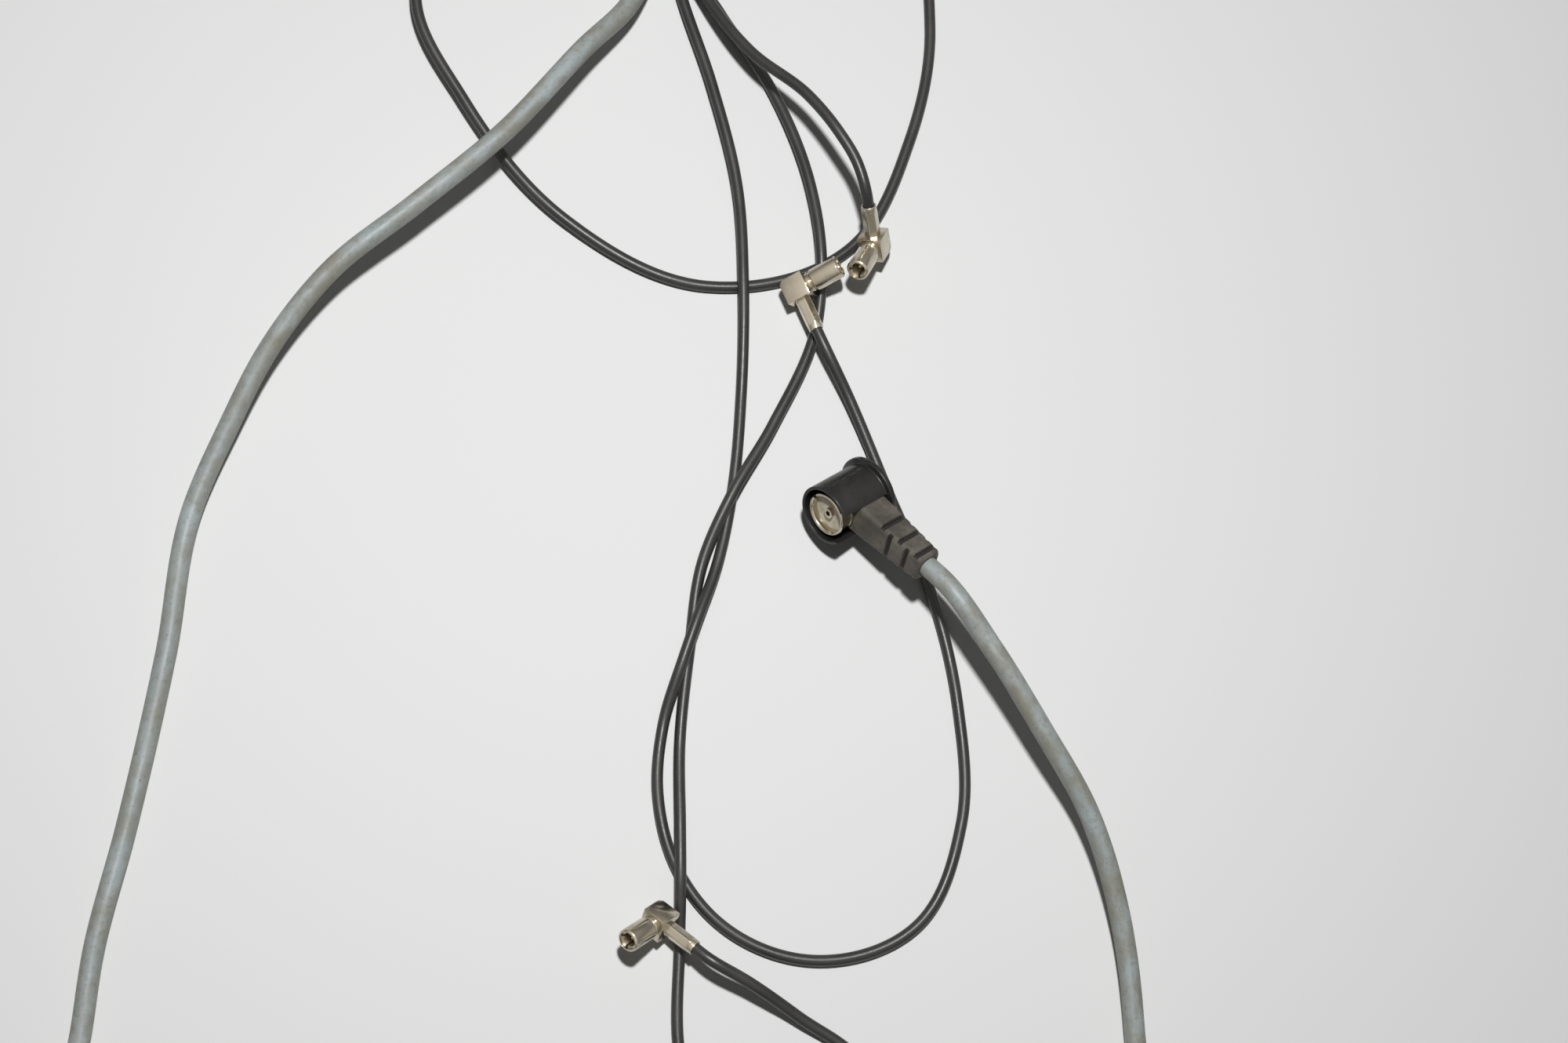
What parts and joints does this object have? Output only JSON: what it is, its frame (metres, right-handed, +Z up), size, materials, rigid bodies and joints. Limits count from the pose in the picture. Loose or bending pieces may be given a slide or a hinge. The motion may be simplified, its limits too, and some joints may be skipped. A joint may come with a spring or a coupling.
{
  "type": "wiring harness",
  "caption": "Folded wiring harness of thin black coaxial leads with right-angle metal plugs and a thicker grey coaxial lead with right-angle moulded plugs, held by a cable tie.",
  "frame": {"origin": "on the table, under the middle of the harness as it lies", "axes": "+Z up from the table, +Y along its longest way, from the grey lead's bend to the tie"},
  "size_m": [0.2522, 0.3922, 0.0249],
  "materials": {
    "black_jacket": "satin",
    "grey_jacket": "satin",
    "tie_plastic": "satin",
    "plug_block_metal": "satin",
    "plug_sleeve_metal": "satin",
    "plug_spring_metal": "satin",
    "plug_ferrule_metal": "satin",
    "plug_pin": "satin",
    "plug_insulator": "matte",
    "moulded_body": "matte",
    "shroud_plastic": "satin",
    "barrel_metal": "satin",
    "insulating_disc": "matte"
  },
  "bodies": {
    "root": {"upper_plug_block": "plug_block_metal", "upper_plug_sleeve": "plug_sleeve_metal", "upper_plug_spring": "plug_spring_metal", "upper_plug_insulator": "plug_insulator", "upper_plug_contact": "plug_pin", "upper_plug_ferrule": "plug_ferrule_metal", "upper_plug_cap": "plug_block_metal", "middle_plug_block": "plug_block_metal", "middle_plug_sleeve": "plug_sleeve_metal", "middle_plug_spring": "plug_spring_metal", "middle_plug_insulator": "plug_insulator", "middle_plug_contact": "plug_pin", "middle_plug_ferrule": "plug_ferrule_metal", "middle_plug_cap": "plug_block_metal", "lower_plug_block": "plug_block_metal", "lower_plug_sleeve": "plug_sleeve_metal", "lower_plug_spring": "plug_spring_metal", "lower_plug_insulator": "plug_insulator", "lower_plug_contact": "plug_pin", "lower_plug_ferrule": "plug_ferrule_metal", "lower_plug_cap": "plug_block_metal", "far_plug_block": "plug_block_metal", "far_plug_sleeve": "plug_sleeve_metal", "far_plug_spring": "plug_spring_metal", "far_plug_insulator": "plug_insulator", "far_plug_contact": "plug_pin", "far_plug_ferrule": "plug_ferrule_metal", "far_plug_cap": "plug_block_metal", "near_aerial_body": "moulded_body", "near_aerial_barrel": "barrel_metal", "near_aerial_disc": "insulating_disc", "near_aerial_contact": "barrel_metal", "near_aerial_shroud": "shroud_plastic", "far_aerial_body": "moulded_body", "far_aerial_barrel": "barrel_metal", "far_aerial_disc": "insulating_disc", "far_aerial_contact": "barrel_metal", "far_aerial_shroud": "shroud_plastic", "long_black_cable": "black_jacket", "short_black_cable": "black_jacket", "grey_cable": "grey_jacket", "cable_tie": "tie_plastic"}
  },
  "joints": []
}
